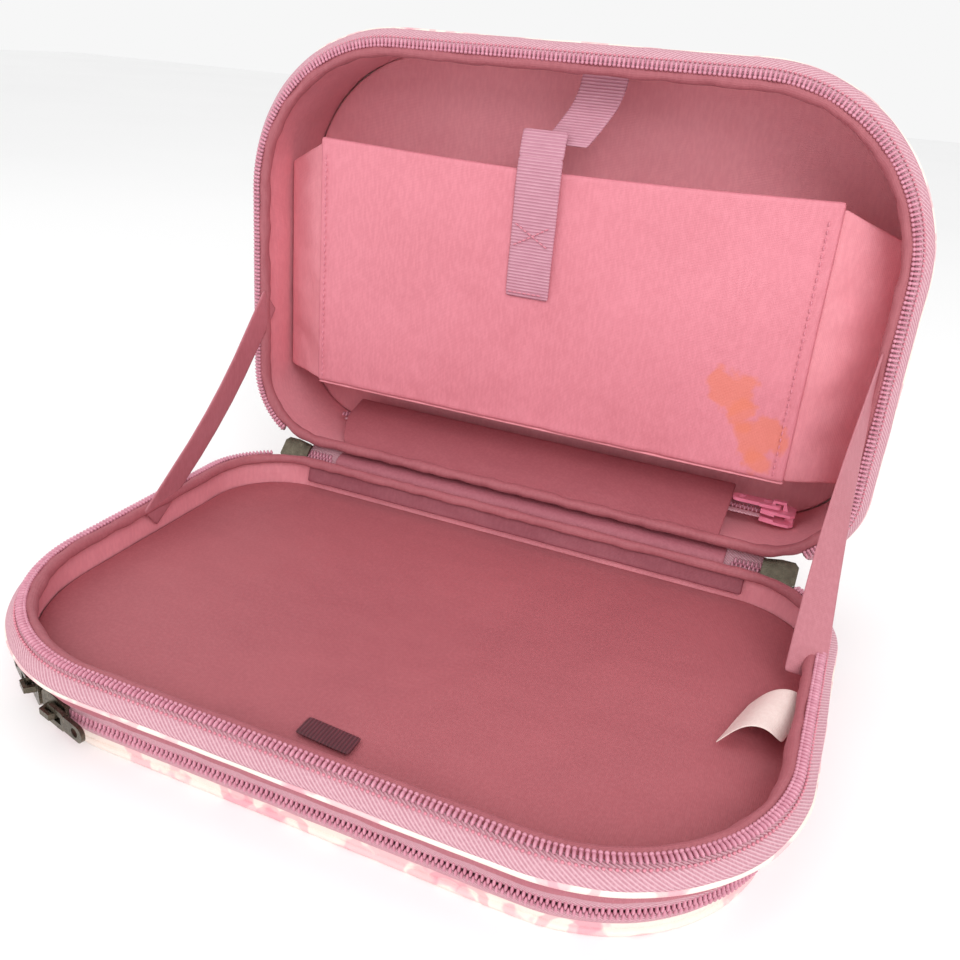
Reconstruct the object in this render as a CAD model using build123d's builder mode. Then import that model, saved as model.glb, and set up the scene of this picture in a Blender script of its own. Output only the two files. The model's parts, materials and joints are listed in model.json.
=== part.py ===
"""Two-storey zip pencil case, modelled open: base, tray and lid, millimetres.

The origin is the middle of the base's bottom face. X runs along the hinge, -Y is
the front, +Z is up. The lid is drawn on its own plane, which leans back from the
hinge, so tray and lid share one set of outlines: local x along the hinge, local y
towards the hinge, and depth measured away from the plane where the two rims meet.
"""

from math import acos, cos, degrees, radians, sin
import os

from build123d import *

# --- driving dimensions -------------------------------------------------------
WIDTH = 250.0               # rim outline, along the hinge
LENGTH = 166.0              # rim outline, front to back
FRONT_RADIUS = 60.0         # outline corners away from the hinge
BACK_RADIUS = 32.0          # outline corners beside the hinge
RIM_HEIGHT = 31.0           # rim plane above the table
LID_ANGLE = 91.0            # opening angle that the stay straps allow

TRAY_DEPTH = 14.0           # rim to the tray's floor
LID_DEPTH = 42.0            # rim to the lid's back lining
LID_OUTER_DEPTH = 47.0      # rim to the lid's outer face
CLOTH = 1.2                 # sewn lining or outer layer
BOARD = 2.2                 # padded panel

COIL_RADIUS = 1.3           # main zip, one side of the chain
COIL_INSET = 1.5            # coil centre inside the rim outline
COIL_DEPTH = 1.5            # coil centre below the rim plane
LOWER_ZIP_DEPTH = 20.6      # middle of the lower zip's chain
LOWER_ZIP_INSET = 4.2       # the lower zip's chain inside the rim outline
LOWER_COIL_RADIUS = 1.2
CHAIN_THICKNESS = 2.2       # closed chain, plate to plate
CHAIN_WIDTH = 6.0

ZIP_END = 111.0             # x where the open rows of the main zip begin
SPINE_HALF = 76.0           # half length of the cloth spines

SLIDER_LENGTH = 12.8
SLIDER_WIDTH = 9.9
SLIDER_GAP = 2.9            # between the slider's two plates
PLATE = 1.1
MAIN_SLIDER_X = 104.0
SLIDER_OUT = 4.5            # main sliders stand off the hinge line, outwards
PULLER_LENGTH = 19.0
PULLER_WIDTH = 6.4
PULLER_THICKNESS = 1.3

LOWER_ZIP_ANGLES = {"front": 15.0, "side": 30.5}   # round the front left corner

POCKET_HALF = 98.0
POCKET_BOTTOM = 30.0        # heights up the lid from the hinge
POCKET_TOP = 129.0
POCKET_FACE = 8.0           # depth of the pocket's front face
STRAP_WIDTH = 17.0
STRAP_X = -12.0
TAB_END = 81.0

STAY_X = 118.2
STAY_WIDTH = 12.0
STAYS = {"left": (-1, 38.0, 10.0), "right": (1, 44.0, 28.0)}   # side, up the lid, y on the tray

INNER_ZIP_DEPTH = 28.0      # inner zip, in the lid's bottom wall
INNER_ZIP_HEIGHT = 9.5
INNER_SLIDER_X = 98.0
FLAP_ENDS = (-90.0, 80.0)   # where the flap over the inner zip begins and ends

HALF_LENGTH = LENGTH / 2
BACK_EDGE_HALF = WIDTH / 2 - BACK_RADIUS    # straight part of the back edge
LEAN = radians(LID_ANGLE)
LID_UP = Vector(0, -cos(LEAN), sin(LEAN))
LID_BACK = Vector(0, sin(LEAN), cos(LEAN))
HINGE = Vector(0, HALF_LENGTH, RIM_HEIGHT)


# --- planes -------------------------------------------------------------------
class Storey:
    """A storey's rim plane, and which way its depth runs."""

    def __init__(self, rim, way):
        self.rim = rim
        self.way = way

    def at(self, depth):
        return self.rim.offset(self.way * depth)


TRAY = Storey(Plane.XY.offset(RIM_HEIGHT), -1)
LID = Storey(Plane(origin=HINGE + LID_UP * HALF_LENGTH, x_dir=(1, 0, 0), z_dir=LID_BACK), 1)


def lid_level(height):
    """Plane across the lid at a height above the hinge: local y is the lid's depth."""
    return Plane(origin=HINGE + LID_UP * height, x_dir=(1, 0, 0), z_dir=LID_UP)


def lid_point(x, height, depth):
    return HINGE + Vector(x, 0, 0) + LID_UP * height + LID_BACK * depth


# --- outlines -----------------------------------------------------------------
def outline(inset):
    """The case's outline, drawn a distance inside the rim, as a closed wire."""
    side = WIDTH / 2 - inset
    end = HALF_LENGTH - inset
    front = FRONT_RADIUS - inset
    back = BACK_RADIUS - inset
    corner = 90
    with BuildLine() as line:
        Line((-side + front, -end), (side - front, -end))
        CenterArc((side - front, -end + front), front, -corner, corner)
        Line((side, -end + front), (side, end - back))
        CenterArc((side - back, end - back), back, 0, corner)
        Line((side - back, end), (-side + back, end))
        CenterArc((-side + back, end - back), back, corner, corner)
        Line((-side, end - back), (-side, -end + front))
        CenterArc((-side + front, -end + front), front, 2 * corner, corner)
    return line.wires()[0]


def slab(storey, depth, thickness, inset):
    """Adds a panel that fills the outline, from one depth downwards."""
    with BuildSketch(storey.at(depth)) as panel:
        make_face(outline(inset).edges())
    extrude(panel.sketch, amount=storey.way * thickness)


def band(storey, depth, height, inset, thickness):
    """Adds a closed wall that follows the outline, thickening inwards."""
    with BuildSketch(storey.at(depth)) as ring:
        make_face(outline(inset).edges())
        make_face(outline(inset + thickness).edges(), mode=Mode.SUBTRACT)
    extrude(ring.sketch, amount=storey.way * height)


def track(storey, inset, depth, end_x):
    """A path round the outline that starts and ends beside the hinge, at x = +-end_x."""
    side = WIDTH / 2 - inset
    end = HALF_LENGTH - inset
    front = FRONT_RADIUS - inset
    back = BACK_RADIUS - inset
    corner = 90
    start = degrees(acos((end_x - side + back) / back))
    with BuildLine(storey.at(depth)) as path:
        CenterArc((-side + back, end - back), back, 2 * corner - start, start)
        Line((-side, end - back), (-side, -end + front))
        CenterArc((-side + front, -end + front), front, 2 * corner, corner)
        Line((-side + front, -end), (side - front, -end))
        CenterArc((side - front, -end + front), front, -corner, corner)
        Line((side, -end + front), (side, end - back))
        CenterArc((side - back, end - back), back, 0, start)
    return path.wires()[0]


def ring_track(storey, inset, depth):
    """A closed path all round the outline."""
    return storey.at(depth).from_local_coords(outline(inset))


def section_plane(path, storey):
    """Plane across a path at its start: local x inwards, local y along the depth."""
    tangent = path % 0
    depth_way = storey.rim.z_dir * storey.way
    inwards = depth_way.cross(tangent) * storey.way
    return Plane(origin=path @ 0, x_dir=inwards, z_dir=inwards.cross(depth_way))


def cord_round(path, storey, radius):
    """Adds a round bead along a path."""
    with BuildSketch(section_plane(path, storey)) as section:
        Circle(radius)
    sweep(section.sketch, path=path)


def strip_round(path, storey, points):
    """Adds a strip along a path; points are (inwards, deeper) from the path."""
    with BuildSketch(section_plane(path, storey)) as section:
        with BuildLine():
            Polyline(points, close=True)
        make_face()
    sweep(section.sketch, path=path)


def finish(piece, name):
    piece.part.label = name
    export_step(piece.part, f"parts/{name}.step")


# --- zip sliders --------------------------------------------------------------
def slider_body(plane):
    """Adds a coil-zip slider: local x towards its closed end, z out of its face."""
    nose = SLIDER_LENGTH / 2
    wide = SLIDER_WIDTH / 2
    narrow = wide - 1.1
    lip = 0.8
    outline_points = [(-nose, -wide + 1.6), (-nose + 1.6, -wide), (0, -wide), (nose, -narrow),
                      (nose, narrow), (0, wide), (-nose + 1.6, wide), (-nose, wide - 1.6)]
    for side in (1, -1):
        with BuildSketch(plane.offset(side * SLIDER_GAP / 2)) as face:
            Polygon(*outline_points, align=None)
        extrude(face.sketch, amount=side * PLATE)
        with BuildSketch(plane.offset(side * SLIDER_GAP / 2)) as lips:
            Polygon((1, -wide), (nose, -narrow), (nose, -narrow + lip), (1, -wide + lip), align=None)
            mirror(about=Plane.XZ)
        extrude(lips.sketch, amount=-side * 0.75)
    with BuildSketch(plane.offset(-SLIDER_GAP / 2)) as wedge:
        Polygon((-nose + 0.4, -1.5), (-nose + 0.4, 1.5), (-nose + 3.6, 0), align=None)
    extrude(wedge.sketch, amount=SLIDER_GAP)


def slider_bridge(plane):
    """Adds the bridge that holds the puller's pin, on the slider's outer plate."""
    foot = SLIDER_GAP / 2 + PLATE - 0.1
    top = foot + 3.4
    side = Plane(origin=plane.origin, x_dir=plane.x_dir, z_dir=-plane.y_dir)
    with BuildSketch(side) as arch:
        with BuildLine():
            Polyline((-3.4, foot), (-2.4, top), (2.4, top), (3.4, foot), close=True)
        make_face()
        with Locations((0, foot + 1.25)):
            Rectangle(3.0, 2.3, mode=Mode.SUBTRACT)
    extrude(arch.sketch, amount=1.0, both=True)


def puller_pin(plane):
    """Where the puller turns in the bridge."""
    return plane.origin + plane.z_dir * (SLIDER_GAP / 2 + PLATE + 1.15)


def puller_shape(plane, way, length):
    """Adds a puller whose tab runs from its pin along the given direction."""
    pin = puller_pin(plane)
    flat = Plane(origin=pin, x_dir=way, z_dir=way.cross(plane.y_dir))
    eye = 3.6
    with BuildSketch(flat.offset(-PULLER_THICKNESS / 2)) as tab:
        with Locations((eye, 0)):
            RectangleRounded(2 * eye + 1.2, PULLER_WIDTH, 1.2, align=(Align.CENTER, Align.CENTER))
        with Locations((eye + 0.2, 0)):
            Rectangle(2 * eye - 1.0, 2.6, mode=Mode.SUBTRACT)
        with Locations((length / 2 + eye, 0)):
            RectangleRounded(length - 2 * eye + 2, PULLER_WIDTH - 1.0, 2.4)
        with Locations((length - 2.6, 0)):
            Circle(1.5, mode=Mode.SUBTRACT)
    extrude(tab.sketch, amount=PULLER_THICKNESS)


def zip_slider(name, plane):
    with BuildPart() as slider:
        slider_body(plane)
        slider_bridge(plane)
    finish(slider, name)


def zip_puller(name, plane, way, length=PULLER_LENGTH):
    with BuildPart() as puller:
        puller_shape(plane, way, length)
    finish(puller, name)


def main_slider_plane(side):
    """Main slider's plane on one side of the case, facing out of the hinge's corner."""
    out = Vector(0, 1, -1).normalized()
    origin = HINGE + Vector(side * MAIN_SLIDER_X, 0, 0) + out * SLIDER_OUT
    return Plane(origin=origin, x_dir=(-side, 0, 0), z_dir=out)


def lower_slider_plane(angle, way):
    """Lower slider's plane on the front left corner; way is +1 when it closes forwards."""
    radius = FRONT_RADIUS - LOWER_ZIP_INSET
    turn = radians(angle)
    out = Vector(-sin(turn), -cos(turn), 0)
    along = Vector(cos(turn), -sin(turn), 0) * way
    centre = Vector(FRONT_RADIUS - WIDTH / 2, FRONT_RADIUS - HALF_LENGTH, RIM_HEIGHT - LOWER_ZIP_DEPTH)
    return Plane(origin=centre + out * radius, x_dir=along, z_dir=out)


def inner_slider_plane():
    origin = lid_point(INNER_SLIDER_X, INNER_ZIP_HEIGHT, INNER_ZIP_DEPTH)
    return Plane(origin=origin, x_dir=(-1, 0, 0), z_dir=LID_UP)


# --- base ---------------------------------------------------------------------
def make_base():
    floor_depth = RIM_HEIGHT - BOARD
    with BuildPart() as base_panel:
        slab(TRAY, floor_depth, BOARD, 8.6)
    finish(base_panel, "base_panel")
    with BuildPart() as base_lining:
        slab(TRAY, floor_depth - CLOTH - 0.1, CLOTH, 7.8)
    finish(base_lining, "base_lining")
    with BuildPart() as base_wall:
        band(TRAY, 25.6, 2.6, 6.0, CLOTH)
    finish(base_wall, "base_wall")
    with BuildPart() as base_piping:
        cord_round(ring_track(TRAY, 6.6, RIM_HEIGHT - 1.3), TRAY, 1.25)
    finish(base_piping, "base_piping")


def lower_track(inset, depth):
    """Path of the lower zip, open along the back and between its two sliders."""
    return track(TRAY, inset, depth, ZIP_END)


def make_lower_zip():
    inset = LOWER_ZIP_INSET
    below = LOWER_ZIP_DEPTH + LOWER_COIL_RADIUS + 0.15
    above = LOWER_ZIP_DEPTH - LOWER_COIL_RADIUS - 0.15
    for name, depth in (("lower_zip_coil_bottom", below), ("lower_zip_coil_top", above)):
        with BuildPart() as coil:
            cord_round(lower_track(inset, depth), TRAY, LOWER_COIL_RADIUS)
            slider_room()
        finish(coil, name)
    with BuildPart() as tape_bottom:
        reach = below + LOWER_COIL_RADIUS + 0.1
        points = [(0, 0), (-0.8, 0), (0.9, 25.4 - reach), (1.9, 25.4 - reach)]
        strip_round(lower_track(inset + 0.4, reach), TRAY, points)
        slider_room()
    finish(tape_bottom, "lower_zip_tape_bottom")
    with BuildPart() as tape_top:
        reach = above - LOWER_COIL_RADIUS - 0.1
        points = [(0, 0), (-0.8, 0), (-2.9, 14.2 - reach), (-1.9, 14.2 - reach)]
        strip_round(lower_track(inset + 0.4, reach), TRAY, points)
        slider_room()
    finish(tape_top, "lower_zip_tape_top")


def slider_room():
    """Cuts a chain where the two lower sliders sit."""
    radius = FRONT_RADIUS - LOWER_ZIP_INSET
    middle = sum(LOWER_ZIP_ANGLES.values()) / 2
    reach = degrees(SLIDER_LENGTH + 2.0) / radius
    corner = (FRONT_RADIUS - WIDTH / 2, FRONT_RADIUS - HALF_LENGTH)
    with BuildSketch(Plane.XY.offset(RIM_HEIGHT - LOWER_ZIP_DEPTH - 7)) as wedge:
        with BuildLine():
            low = radians(middle - reach)
            high = radians(middle + reach)
            far = radius + 8
            first = (corner[0] - far * sin(low), corner[1] - far * cos(low))
            second = (corner[0] - far * sin(high), corner[1] - far * cos(high))
            Polyline(corner, first, second, close=True)
        make_face()
    extrude(wedge.sketch, amount=14, mode=Mode.SUBTRACT)


def make_lower_spine():
    """Cloth hinge between base and tray, along the back."""
    with BuildPart() as lower_spine:
        with BuildSketch(Plane.YZ):
            with BuildLine():
                back = HALF_LENGTH
                Polyline((back - 5.7, 3.2), (back - 5.1, 5.4), (back - 0.6, 15.5), (back - 0.6, 17.2),
                         (back + 0.4, 17.2), (back + 0.4, 15.3), (back - 4.2, 5.2), (back - 4.8, 3.2),
                         close=True)
            make_face()
        extrude(amount=SPINE_HALF, both=True)
    finish(lower_spine, "lower_spine")


# --- tray ---------------------------------------------------------------------
def make_tray_shell():
    with BuildPart() as tray_floor:
        slab(TRAY, TRAY_DEPTH, CLOTH, 4.1)
    finish(tray_floor, "tray_floor")
    with BuildPart() as tray_wall:
        band(TRAY, 3.1, TRAY_DEPTH - 3.2, 2.6, CLOTH)
    finish(tray_wall, "tray_wall")
    with BuildPart() as tray_gusset:
        band(TRAY, 7.6, 6.4, 1.0, CLOTH)
    finish(tray_gusset, "tray_gusset")
    with BuildPart() as hinge_binding:
        with BuildSketch(Plane.YZ):
            with BuildLine():
                edge = HALF_LENGTH - 4.0
                top = RIM_HEIGHT - 4.0
                Polyline((edge, top), (edge - 0.9, top), (edge - 2.6, top - 7), (edge - 1.4, top - 7),
                         close=True)
            make_face()
        extrude(amount=BACK_EDGE_HALF, both=True)
    finish(hinge_binding, "hinge_binding")


def make_rim(storey, prefix):
    """Lip, zip tape, coil and piping that ring one half of the main zip."""
    with BuildPart() as lip:
        band(storey, 1.6, 1.3, 3.0, 3.2)
    finish(lip, f"{prefix}_lip")
    with BuildPart() as coil:
        cord_round(track(storey, COIL_INSET, COIL_DEPTH, ZIP_END), storey, COIL_RADIUS)
    finish(coil, f"{prefix}_zip_coil")
    with BuildPart() as tape:
        points = [(0.9, 0), (-0.4, 0), (-3.4, 3.3), (-2.2, 3.3)]
        strip_round(track(storey, 1.6, 2.9, ZIP_END), storey, points)
    finish(tape, f"{prefix}_zip_tape")
    with BuildPart() as piping:
        cord_round(track(storey, -1.9, 7.4, ZIP_END + 2), storey, 1.0)
    finish(piping, f"{prefix}_piping")


def make_labels():
    floor = RIM_HEIGHT - TRAY_DEPTH
    with BuildPart() as woven_label:
        with BuildSketch(Plane.XY.offset(floor + 0.1)):
            with Locations(Location((5.5, -55.5), -4)):
                Rectangle(17, 8)
        extrude(amount=0.5)
    finish(woven_label, "woven_label")
    with BuildPart() as care_label:
        with BuildSketch(Plane.XZ.offset(-34)):
            with BuildLine():
                Polyline((119.8, floor + 1.0), (117.6, floor + 1.6), (108, floor + 5.6), (100, floor + 11),
                         (100.5, floor + 11.5), (108.4, floor + 6.4), (117.8, floor + 2.4),
                         (119.8, floor + 1.8), close=True)
            make_face()
        extrude(amount=26)
    finish(care_label, "care_label")


# --- lid ----------------------------------------------------------------------
def make_lid_shell():
    with BuildPart() as lid_panel:
        slab(LID, LID_OUTER_DEPTH - BOARD, BOARD, 3.4)
    finish(lid_panel, "lid_panel")
    with BuildPart() as lid_back_lining:
        slab(LID, LID_DEPTH, BOARD, 4.1)
    finish(lid_back_lining, "lid_back_lining")
    with BuildPart() as lid_wall:
        band(LID, 3.1, LID_DEPTH - 3.2, 2.6, CLOTH)
    finish(lid_wall, "lid_wall")
    with BuildPart() as lid_gusset:
        band(LID, 8.6, LID_OUTER_DEPTH - 10.7, 1.0, CLOTH)
    finish(lid_gusset, "lid_gusset")
    with BuildPart() as panel_piping:
        cord_round(ring_track(LID, 1.9, LID_OUTER_DEPTH - 0.9), LID, 1.1)
    finish(panel_piping, "lid_panel_piping")


def make_pocket():
    face = POCKET_FACE
    height = POCKET_TOP - POCKET_BOTTOM
    with BuildPart() as pocket_front:
        with BuildSketch(lid_level(POCKET_BOTTOM)):
            with Locations((0, face + 1.5)):
                Rectangle(2 * POCKET_HALF, 3)
        extrude(amount=height)
    finish(pocket_front, "pocket_front")
    for side, name in ((-1, "left"), (1, "right")):
        edge = side * (POCKET_HALF - 1)
        wall = side * 119.4
        with BuildPart() as gusset:
            with BuildSketch(lid_level(POCKET_BOTTOM)):
                with BuildLine():
                    Polyline((edge, face + 3.2), (wall, face + 14), (wall, face + 15.2),
                             (edge, face + 4.4), close=True)
                make_face()
            extrude(amount=height - 12)
        finish(gusset, f"pocket_gusset_{name}")
    with BuildPart() as pocket_bottom:
        with BuildSketch(lid_level(POCKET_BOTTOM - 1.5)):
            with Locations((0, (face + LID_DEPTH) / 2)):
                Rectangle(2 * POCKET_HALF, LID_DEPTH - face - 0.4)
        extrude(amount=1.3)
    finish(pocket_bottom, "pocket_bottom")


def make_closure():
    """Closure strap: fixed part, hanging tab, and the hook and loop patches."""
    fold = POCKET_TOP + 2.0
    with BuildPart() as strap_anchor:
        with BuildSketch(Plane.YZ.offset(STRAP_X - STRAP_WIDTH / 2)):
            with BuildLine():
                spots = [(fold, 6.6), (fold, 20.2), (161.8, 20.2), (161.8, 19.0),
                         (fold + CLOTH, 19.0), (fold + CLOTH, 6.6)]
                corners = [lid_point(0, height, depth) for height, depth in spots]
                Polyline([(corner.Y, corner.Z) for corner in corners], close=True)
            make_face()
        extrude(amount=STRAP_WIDTH)
    finish(strap_anchor, "strap_anchor")
    strap_plate("closure_tab", TAB_END, fold + 0.9, 4.6, 1.1, STRAP_WIDTH)
    strap_plate("hook_patch", TAB_END + 1, TAB_END + 22, 5.75, 0.9, STRAP_WIDTH - 1)
    strap_plate("pocket_loop_patch", TAB_END + 1, TAB_END + 22, POCKET_FACE - 0.95, 0.9, STRAP_WIDTH + 1)


def strap_plate(name, bottom, top, depth, thickness, width):
    with BuildPart() as plate:
        with BuildSketch(lid_level(bottom)):
            with Locations((STRAP_X, depth + thickness / 2)):
                Rectangle(width, thickness)
        extrude(amount=top - bottom)
    finish(plate, name)


def make_spine_flap():
    """Lining flap that rises from the hinge over the inner zip."""
    with BuildPart() as spine_flap:
        with BuildSketch(Plane.YZ.offset(FLAP_ENDS[0])):
            with BuildLine():
                spots = [(4.3, 3.2), (5.6, 3.2), (16.2, 35.0), (14.9, 35.4)]
                corners = [lid_point(0, height, depth) for height, depth in spots]
                Polyline([(corner.Y, corner.Z) for corner in corners], close=True)
            make_face()
        extrude(amount=FLAP_ENDS[1] - FLAP_ENDS[0])
    finish(spine_flap, "spine_flap")


def make_inner_zip():
    plane = inner_slider_plane()
    with BuildPart() as inner_tape:
        with BuildSketch(lid_level(INNER_ZIP_HEIGHT - 0.45)):
            for side in (-1, 1):
                with Locations((0, INNER_ZIP_DEPTH + side * 4.8)):
                    Rectangle(184, 3.4)
        extrude(amount=0.9)
    finish(inner_tape, "inner_zip_tape")
    with BuildPart() as inner_chain:
        with BuildSketch(plane.offset(-CHAIN_THICKNESS / 2)):
            with Locations((INNER_SLIDER_X + 2, 0)):
                Rectangle(188, CHAIN_WIDTH)
        extrude(amount=CHAIN_THICKNESS)
    finish(inner_chain, "inner_zip_chain")
    zip_slider("inner_slider", plane)
    zip_puller("inner_puller", plane, plane.x_dir, 17.0)


# --- across the hinge ---------------------------------------------------------
def make_spine():
    """Outer cloth in the corner between the tray's back and the lid's underside."""
    back = HALF_LENGTH + 0.4
    under = RIM_HEIGHT + 0.1
    with BuildPart() as spine_outer:
        with BuildSketch(Plane.YZ):
            with BuildLine():
                Polyline((back, under - 10), (back, under - 1.1), (back + 12, under - 1.3),
                         (back + 12, under - 0.3), (back + 0.2, under - 0.1), (back - 0.9, under - 0.9),
                         (back - 0.9, under - 10), close=True)
            make_face()
        extrude(amount=SPINE_HALF, both=True)
    finish(spine_outer, "spine_outer")


def make_stays():
    for name, (side, up, along) in STAYS.items():
        foot = 3.5
        depth = 3.5
        lid_end = lid_point(0, up, depth)
        tray_end = Vector(0, along, RIM_HEIGHT - foot)
        run = (lid_end - tray_end).normalized()
        across = Vector(0, run.Z, -run.Y) * (STAY_WIDTH / 2)
        corners = [tray_end - across, tray_end + across, lid_end + across, lid_end - across]
        with BuildPart() as stay:
            with BuildSketch(Plane.YZ.offset(side * STAY_X - 0.5)):
                with BuildLine():
                    Polyline([(corner.Y, corner.Z) for corner in corners], close=True)
                make_face()
            extrude(amount=1.0)
        finish(stay, f"stay_strap_{name}")


def make_main_sliders():
    for side, name in ((-1, "left"), (1, "right")):
        plane = main_slider_plane(side)
        zip_slider(f"main_slider_{name}", plane)
        zip_puller(f"main_puller_{name}", plane, plane.z_dir)
        with BuildPart() as stub:
            with BuildSketch(plane.offset(-CHAIN_THICKNESS / 2)):
                with Locations((8.0, 0)):
                    Rectangle(20, CHAIN_WIDTH)
            extrude(amount=CHAIN_THICKNESS)
        finish(stub, f"zip_stub_{name}")


def make_lower_sliders():
    for name, way in (("front", 1), ("side", -1)):
        plane = lower_slider_plane(LOWER_ZIP_ANGLES[name], way)
        zip_slider(f"lower_slider_{name}", plane)
        zip_puller(f"lower_puller_{name}", plane, plane.x_dir, 16.0)


def main():
    os.makedirs("parts", exist_ok=True)
    make_base()
    make_lower_zip()
    make_lower_spine()
    make_tray_shell()
    make_rim(TRAY, "tray")
    make_labels()
    make_lid_shell()
    make_rim(LID, "lid")
    make_pocket()
    make_closure()
    make_spine_flap()
    make_inner_zip()
    make_spine()
    make_stays()
    make_main_sliders()
    make_lower_sliders()


main()
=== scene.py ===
# %% [markdown]
# # A zip pencil case, standing open
#
# The case is sewn from three storeys: a flat base, a shallow tray and a deep lid.
# Nearly every piece of it is a strip of cloth or zip that runs round one outline, so
# the lesson builds one tool that wraps a strip round that outline and then uses it
# again and again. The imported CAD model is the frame: it says where every piece goes
# and how it moves.

# %% Load the frame
import json
import math

import bmesh
import bpy
from mathutils import Matrix, Vector, noise


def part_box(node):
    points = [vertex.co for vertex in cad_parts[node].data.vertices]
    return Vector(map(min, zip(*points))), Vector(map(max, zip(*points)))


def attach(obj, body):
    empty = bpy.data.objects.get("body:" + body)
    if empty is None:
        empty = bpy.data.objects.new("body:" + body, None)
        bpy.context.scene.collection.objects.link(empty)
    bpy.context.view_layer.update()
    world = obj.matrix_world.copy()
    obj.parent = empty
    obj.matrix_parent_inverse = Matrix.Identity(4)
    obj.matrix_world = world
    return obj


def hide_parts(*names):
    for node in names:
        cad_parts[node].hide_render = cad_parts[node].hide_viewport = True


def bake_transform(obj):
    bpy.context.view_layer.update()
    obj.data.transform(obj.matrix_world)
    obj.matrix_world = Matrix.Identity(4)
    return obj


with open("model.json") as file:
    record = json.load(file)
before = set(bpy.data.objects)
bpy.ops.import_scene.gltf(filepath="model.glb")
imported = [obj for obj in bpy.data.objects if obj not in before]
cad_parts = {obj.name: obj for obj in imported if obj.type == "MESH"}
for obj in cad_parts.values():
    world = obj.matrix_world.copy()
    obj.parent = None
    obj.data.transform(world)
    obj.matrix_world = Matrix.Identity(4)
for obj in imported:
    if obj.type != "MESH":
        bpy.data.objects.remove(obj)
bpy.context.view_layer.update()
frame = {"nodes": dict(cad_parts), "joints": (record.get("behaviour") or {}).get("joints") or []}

MM = 0.001
JOINTS = {joint["name"]: joint for joint in frame["joints"]}

# %% [markdown]
# ## One outline for every storey
#
# Tray and lid share a rounded rectangle. Its corners are wide at the front and
# tighter beside the hinge. A place on it is named by how far round it lies, measured
# from the middle of the back edge, leftwards. The hinge, the rim's height and the
# lid's angle all come from the frame.

# %% The outline and the storeys
HINGE = Vector(JOINTS["lid_hinge"]["pos_m"])
LEAN = math.radians(JOINTS["lid_hinge"]["range_deg"][1])
HALF_LENGTH = HINGE.y
HALF_WIDTH = 125 * MM
FRONT_RADIUS = 60 * MM
BACK_RADIUS = 32 * MM
QUARTER = math.pi / 2


def outline_pieces():
    """The outline as (kind, start or centre, heading or first angle, length, radius)."""
    w, h, f, b = HALF_WIDTH, HALF_LENGTH, FRONT_RADIUS, BACK_RADIUS
    return [
        ("line", (0, h), math.pi, w - b, 0),
        ("arc", (b - w, h - b), QUARTER, b * QUARTER, b),
        ("line", (-w, h - b), -QUARTER, 2 * h - f - b, 0),
        ("arc", (f - w, f - h), math.pi, f * QUARTER, f),
        ("line", (f - w, -h), 0.0, 2 * (w - f), 0),
        ("arc", (w - f, f - h), -QUARTER, f * QUARTER, f),
        ("line", (w, f - h), QUARTER, 2 * h - f - b, 0),
        ("arc", (w - b, h - b), 0.0, b * QUARTER, b),
        ("line", (w - b, h), math.pi, w - b, 0),
    ]


PIECES = outline_pieces()
ROUND = sum(piece[3] for piece in PIECES)


def outline_at(s):
    """The point s metres round the outline, and its outward direction."""
    s = s % ROUND
    for kind, anchor, angle, length, radius in PIECES[:-1]:
        if s <= length:
            break
        s -= length
    else:
        kind, anchor, angle, length, radius = PIECES[-1]
    if kind == "arc":
        turn = angle + s / radius
        outward = Vector((math.cos(turn), math.sin(turn)))
        return Vector(anchor) + outward * radius, outward
    heading = Vector((math.cos(angle), math.sin(angle)))
    return Vector(anchor) + heading * s, Vector((heading.y, -heading.x))


def round_to(x):
    """How far round the outline lies the place on the back left corner at minus x."""
    straight = HALF_WIDTH - BACK_RADIUS
    return straight + BACK_RADIUS * math.asin((x - straight) / BACK_RADIUS)


LID_UP = Vector((0, -math.cos(LEAN), math.sin(LEAN)))
LID_BACK = Vector((0, math.sin(LEAN), math.cos(LEAN)))


def storey_matrix(origin, along, deep):
    """Takes (x, y, depth) of a storey to the frame; y runs towards the hinge."""
    return Matrix.Translation(origin) @ Matrix((Vector((1, 0, 0)), along, deep)).transposed().to_4x4()


TRAY = storey_matrix(Vector((0, 0, HINGE.z)), Vector((0, 1, 0)), Vector((0, 0, -1)))
LID = storey_matrix(HINGE + LID_UP * HALF_LENGTH, -LID_UP, LID_BACK)
ZIP_START = round_to(111 * MM)
print("outline", round(ROUND, 4), "m round; zip starts", round(ZIP_START, 4))

# %% [markdown]
# ## Finishes
#
# Cloth is a principled surface with a woven bump, a slow change of tone and a sheen
# that catches the light at its edges. Strips that run round the case take their
# pattern from a UV map laid in metres, so ribs and twill turn the corners with them;
# flat panels read Object coordinates.

# %% Node helpers
def linear(colour):
    """An sRGB colour, 0 to 255, as the linear values that a shader takes."""
    return [((c / 255 + 0.055) / 1.055) ** 2.4 if c > 10 else c / 3294.6 for c in colour] + [1.0]


SHEEN_TINT = linear((255, 176, 190))


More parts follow.
